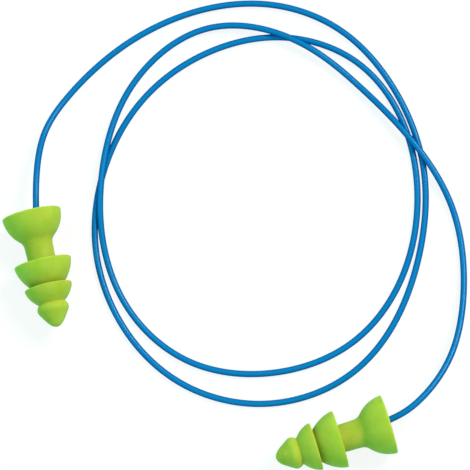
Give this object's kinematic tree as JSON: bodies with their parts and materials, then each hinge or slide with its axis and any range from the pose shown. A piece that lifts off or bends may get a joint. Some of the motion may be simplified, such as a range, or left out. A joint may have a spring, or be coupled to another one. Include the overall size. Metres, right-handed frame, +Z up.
{
  "type": "corded ear plugs",
  "caption": "Reusable push-in ear plugs of soft moulded elastomer, each with a hollow grip bell, stem, thin flanges and blunt nose, joined by a round cord laid in loose loops.",
  "frame": {"origin": "on the surface that the ear plugs lie on, under the middle of the box round the two plugs", "axes": "+Z up from the surface; +X across, from the left plug to the right plug; +Y away from the nose ends, towards the far side of the cord's loops"},
  "size_m": [0.1045, 0.1084, 0.0134],
  "materials": {
    "plug_elastomer": "soft lime green thermoplastic elastomer, moulded, fine satin surface, slightly see-through at thin edges",
    "cord_vinyl": "blue soft vinyl, extruded, smooth satin gloss"
  },
  "bodies": {
    "cord": {"cord": "cord_vinyl"},
    "left_neck": {"left_cord_neck": "cord_vinyl"},
    "left_plug": {"left_plug": "plug_elastomer", "left_cord_end": "cord_vinyl"},
    "right_neck": {"right_cord_neck": "cord_vinyl"},
    "right_plug": {"right_plug": "plug_elastomer", "right_cord_end": "cord_vinyl"}
  },
  "joints": [
    {"name": "left_plug_lift", "type": "hinge", "parent": "cord", "child": "left_neck", "pos_m": [-0.03649, 0.02816, 0.0067], "axis": [-0.9732, -0.23, 0], "range_deg": [0, 60]},
    {"name": "left_plug_swing", "type": "hinge", "parent": "left_neck", "child": "left_plug", "pos_m": [-0.03631, 0.02245, 0.0066], "axis": [0, 0, 1], "range_deg": [-40, 20]},
    {"name": "right_plug_lift", "type": "hinge", "parent": "cord", "child": "right_neck", "pos_m": [0.04216, -0.0189, 0.0067], "axis": [-0.2907, 0.9568, 0], "range_deg": [0, 60]},
    {"name": "right_plug_swing", "type": "hinge", "parent": "right_neck", "child": "right_plug", "pos_m": [0.03704, -0.02133, 0.0066], "axis": [0, 0, 1], "range_deg": [-20, 40]}
  ]
}
